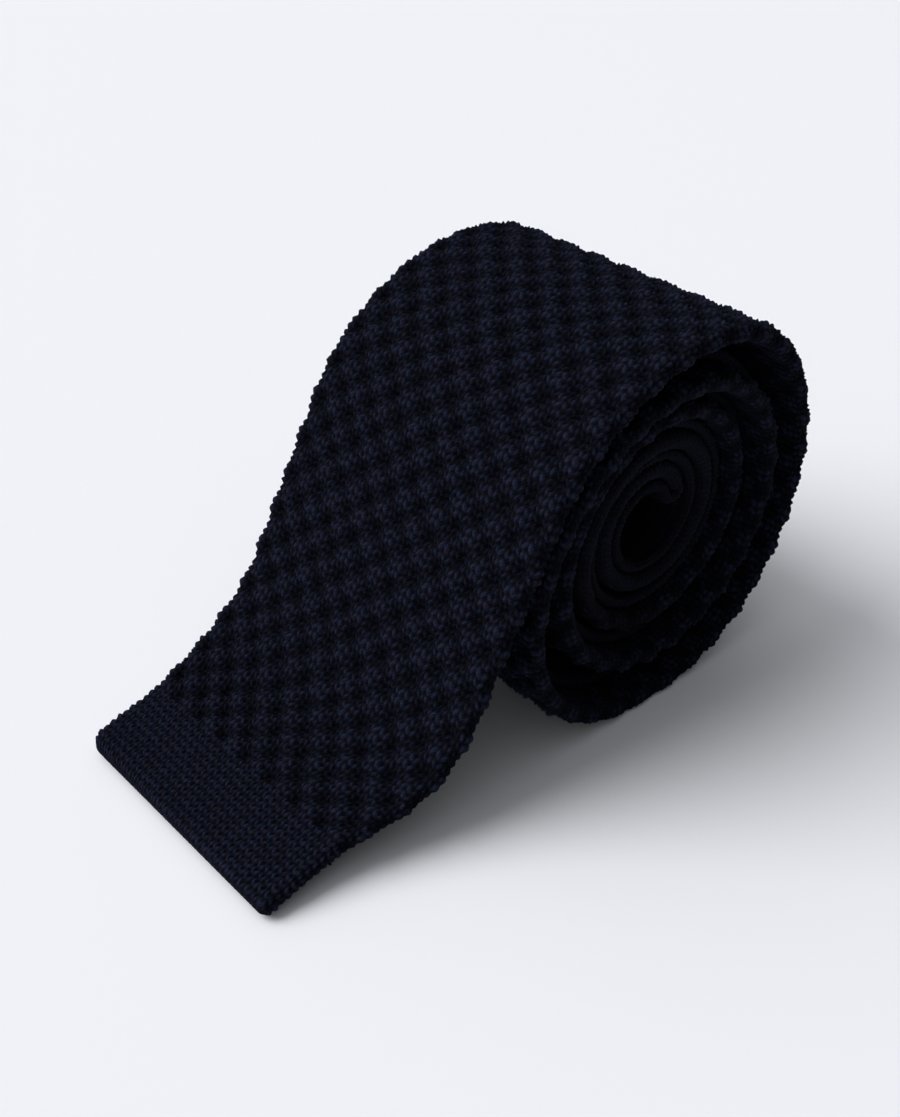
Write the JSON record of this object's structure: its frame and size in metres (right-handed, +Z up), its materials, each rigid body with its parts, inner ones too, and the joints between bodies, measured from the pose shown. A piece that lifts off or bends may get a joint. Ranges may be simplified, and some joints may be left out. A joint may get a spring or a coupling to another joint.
{
  "type": "knitted necktie",
  "caption": "Square-end knitted necktie, doubled at the neckband and rolled into a coil, with its plain-knit end lying free in front; the outer turn unrolls and the end lifts.",
  "frame": {"origin": "centre of the flat patch under the roll, on the table", "axes": "+Z up, Y along the roll's axis (the tie's width), the free end points to -X"},
  "size_m": [0.1226, 0.06, 0.072],
  "materials": {
    "bubble_knit": "navy wool, raised bubble stitch",
    "plain_knit": "navy wool, plain jersey",
    "neck_knit": "navy wool, fine jersey",
    "seam": "linked seam, navy wool",
    "thread": "navy sewing thread",
    "tape": "woven stay tape",
    "label": "blank woven satin label"
  },
  "bodies": {
    "roll": {"front_blade_13": "bubble_knit", "front_blade_14": "bubble_knit", "front_blade_15": "bubble_knit", "front_blade_16": "bubble_knit", "neckband_front_1": "neck_knit", "neckband_front_2": "neck_knit", "neckband_front_3": "neck_knit", "neckband_fold": "neck_knit", "neckband_back_1": "neck_knit", "neckband_back_2": "neck_knit", "back_blade_1": "neck_knit", "back_blade_2": "neck_knit", "back_blade_3": "neck_knit", "back_blade_4": "neck_knit", "back_end_band": "plain_knit", "back_hem_stitching": "thread", "front_seam_inner": "seam", "back_blade_seam": "seam", "neck_stay_tape": "tape"},
    "turn_01": {"front_end_band": "plain_knit", "front_hem_stitching": "thread", "front_blade_01": "bubble_knit", "back_seam_01": "seam"},
    "turn_02": {"front_blade_02": "bubble_knit", "back_seam_02": "seam"},
    "turn_03": {"front_blade_03": "bubble_knit", "back_seam_03": "seam"},
    "turn_04": {"front_blade_04": "bubble_knit", "back_seam_04": "seam"},
    "turn_05": {"front_blade_05": "bubble_knit", "back_seam_05": "seam"},
    "turn_06": {"front_blade_06": "bubble_knit", "back_seam_06": "seam", "keeper_loop": "plain_knit", "keeper_stitches": "thread"},
    "turn_07": {"front_blade_07": "bubble_knit", "back_seam_07": "seam"},
    "turn_08": {"front_blade_08": "bubble_knit", "back_seam_08": "seam"},
    "turn_09": {"front_blade_09": "bubble_knit", "back_seam_09": "seam", "care_label": "label"},
    "turn_10": {"front_blade_10": "bubble_knit", "back_seam_10": "seam"},
    "turn_11": {"front_blade_11": "bubble_knit", "back_seam_11": "seam"},
    "turn_12": {"front_blade_12": "bubble_knit", "back_seam_12": "seam"}
  },
  "joints": [
    {"name": "unroll", "type": "hinge", "parent": "roll", "child": "turn_12", "pos_m": [0.01013, 0, 0.00076], "axis": [0, 1, 0], "range_deg": [0, 22]},
    {"name": "unroll_02", "type": "hinge", "parent": "turn_12", "child": "turn_11", "pos_m": [0.02313, 0, 0.0066], "axis": [0, 1, 0], "range_deg": [0, 22]},
    {"name": "unroll_03", "type": "hinge", "parent": "turn_11", "child": "turn_10", "pos_m": [0.03262, 0, 0.0173], "axis": [0, 1, 0], "range_deg": [0, 22]},
    {"name": "unroll_04", "type": "hinge", "parent": "turn_10", "child": "turn_09", "pos_m": [0.03763, 0, 0.03331], "axis": [0, 1, 0], "range_deg": [0, 22]},
    {"name": "unroll_05", "type": "hinge", "parent": "turn_09", "child": "turn_08", "pos_m": [0.03565, 0, 0.04996], "axis": [0, 1, 0], "range_deg": [0, 22]},
    {"name": "unroll_06", "type": "hinge", "parent": "turn_08", "child": "turn_07", "pos_m": [0.02837, 0, 0.0625], "axis": [0, 1, 0], "range_deg": [0, 22]},
    {"name": "unroll_07", "type": "hinge", "parent": "turn_07", "child": "turn_06", "pos_m": [0.01804, 0, 0.06968], "axis": [0, 1, 0], "range_deg": [0, 22]},
    {"name": "unroll_08", "type": "hinge", "parent": "turn_06", "child": "turn_05", "pos_m": [0.00534, 0, 0.07198], "axis": [0, 1, 0], "range_deg": [0, 22]},
    {"name": "unroll_09", "type": "hinge", "parent": "turn_05", "child": "turn_04", "pos_m": [-0.01218, 0, 0.06775], "axis": [0, 1, 0], "range_deg": [0, 22]},
    {"name": "unroll_10", "type": "hinge", "parent": "turn_04", "child": "turn_03", "pos_m": [-0.02615, 0, 0.057], "axis": [0, 1, 0], "range_deg": [0, 22]},
    {"name": "end_lift", "type": "hinge", "parent": "turn_03", "child": "turn_02", "pos_m": [-0.04845, 0, 0.01798], "axis": [0, 1, 0], "range_deg": [0, 20]},
    {"name": "end_lift_2", "type": "hinge", "parent": "turn_02", "child": "turn_01", "pos_m": [-0.05674, 0, 0.01139], "axis": [0, 1, 0], "range_deg": [0, 20]}
  ],
  "couplings": [
    {"joint": "unroll_02", "follows": "unroll", "ratio": 1},
    {"joint": "unroll_03", "follows": "unroll", "ratio": 1},
    {"joint": "unroll_04", "follows": "unroll", "ratio": 1},
    {"joint": "unroll_05", "follows": "unroll", "ratio": 1},
    {"joint": "unroll_06", "follows": "unroll", "ratio": 1},
    {"joint": "unroll_07", "follows": "unroll", "ratio": 1},
    {"joint": "unroll_08", "follows": "unroll", "ratio": 1},
    {"joint": "unroll_09", "follows": "unroll", "ratio": 1},
    {"joint": "unroll_10", "follows": "unroll", "ratio": 1},
    {"joint": "end_lift_2", "follows": "end_lift", "ratio": 1}
  ]
}
